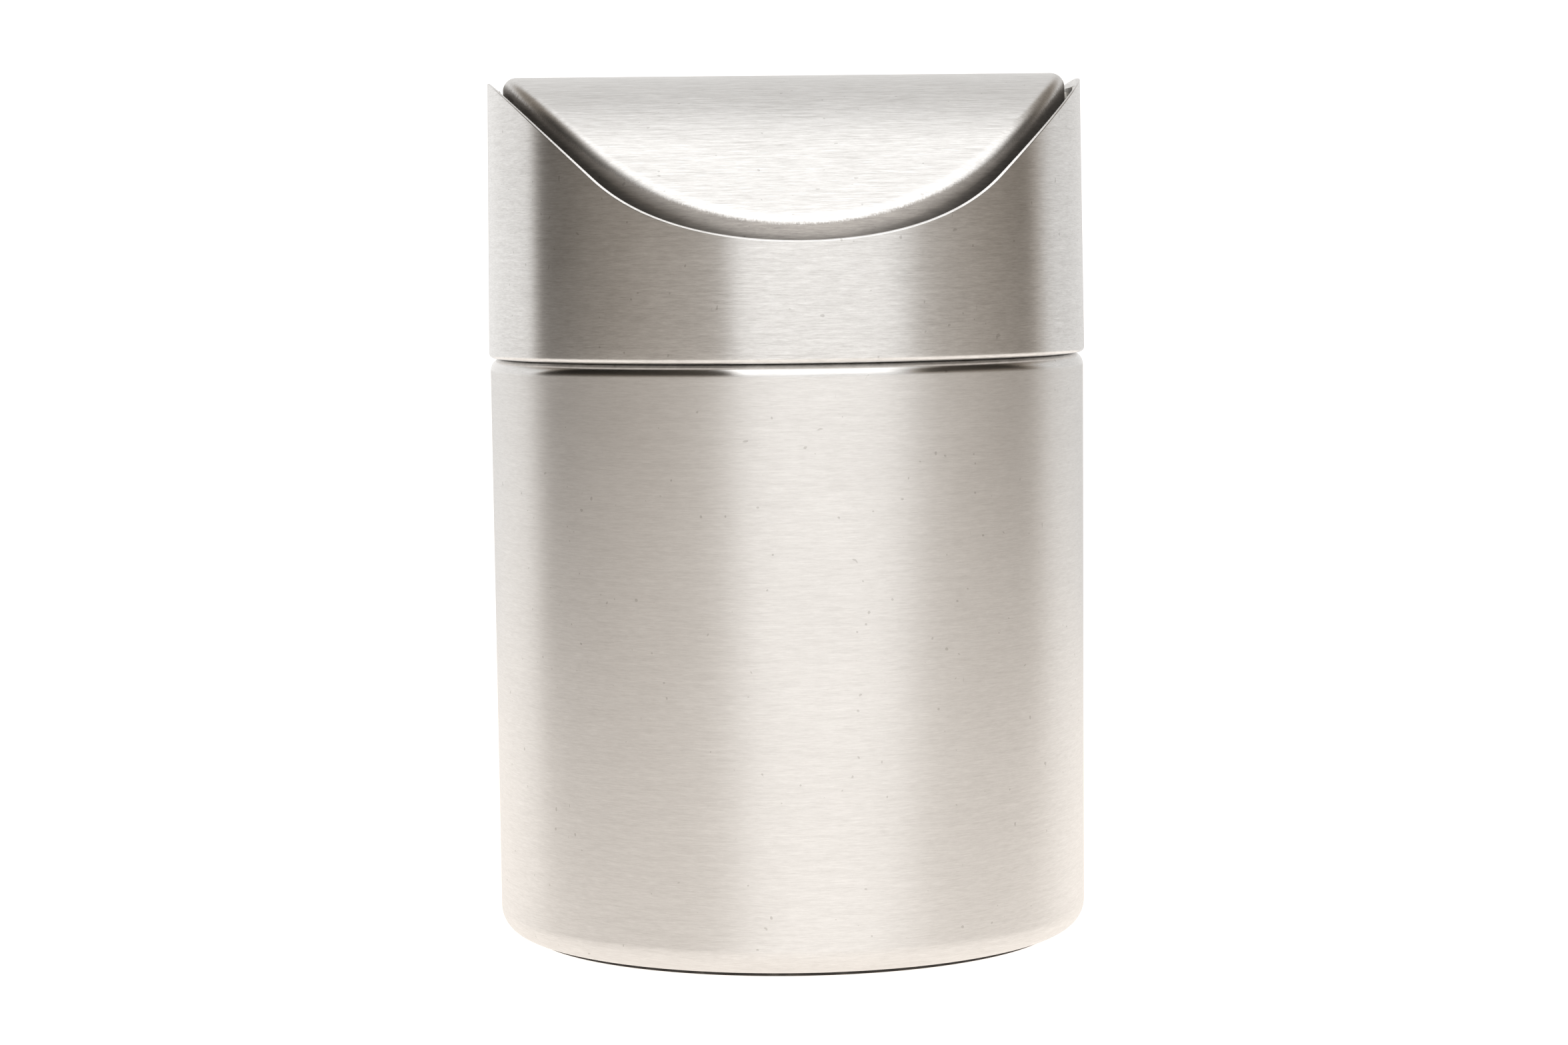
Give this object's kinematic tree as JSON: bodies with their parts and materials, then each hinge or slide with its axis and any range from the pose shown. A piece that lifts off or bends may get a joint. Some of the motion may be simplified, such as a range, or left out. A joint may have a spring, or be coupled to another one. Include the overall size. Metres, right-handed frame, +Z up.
{
  "type": "swing-lid wastebasket",
  "caption": "Small round stainless desktop bin: deep-drawn body, lift-off collar with a saddle-shaped rim, and an arched flap that swings on pivots inside it.",
  "frame": {"origin": "centre of the underside of the base pad", "axes": "+Z up; the flap's pivot axis lies along X; front and back are -Y and +Y and are alike"},
  "size_m": [0.118, 0.118, 0.17],
  "materials": {
    "body_steel": "brushed round the body, satin",
    "collar_steel": "brushed round the collar, brighter satin",
    "flap_steel": "brushed along the ridge, satin",
    "ring_steel": "plain rolled sheet",
    "pin_steel": "turned",
    "nylon": "natural nylon",
    "pad": "matte non-slip sheet"
  },
  "bodies": {
    "bin": {"body_shell": "body_steel", "base_pad": "pad"},
    "lid": {"collar_shell": "collar_steel", "plug_ring": "ring_steel", "pivot_bracket_left": "ring_steel", "pivot_bracket_right": "ring_steel", "pivot_pin_left": "pin_steel", "pivot_pin_right": "pin_steel", "washer_left": "nylon", "washer_right": "nylon"},
    "flap": {"flap_shell": "flap_steel"}
  },
  "joints": [
    {"name": "lid_lift", "type": "slide", "parent": "bin", "child": "lid", "axis": [0, 0, 1], "range_m": [0, 0.06]},
    {"name": "flap_swing", "type": "hinge", "parent": "lid", "child": "flap", "pos_m": [0, 0, 0.163], "axis": [1, 0, 0], "continuous": true}
  ]
}
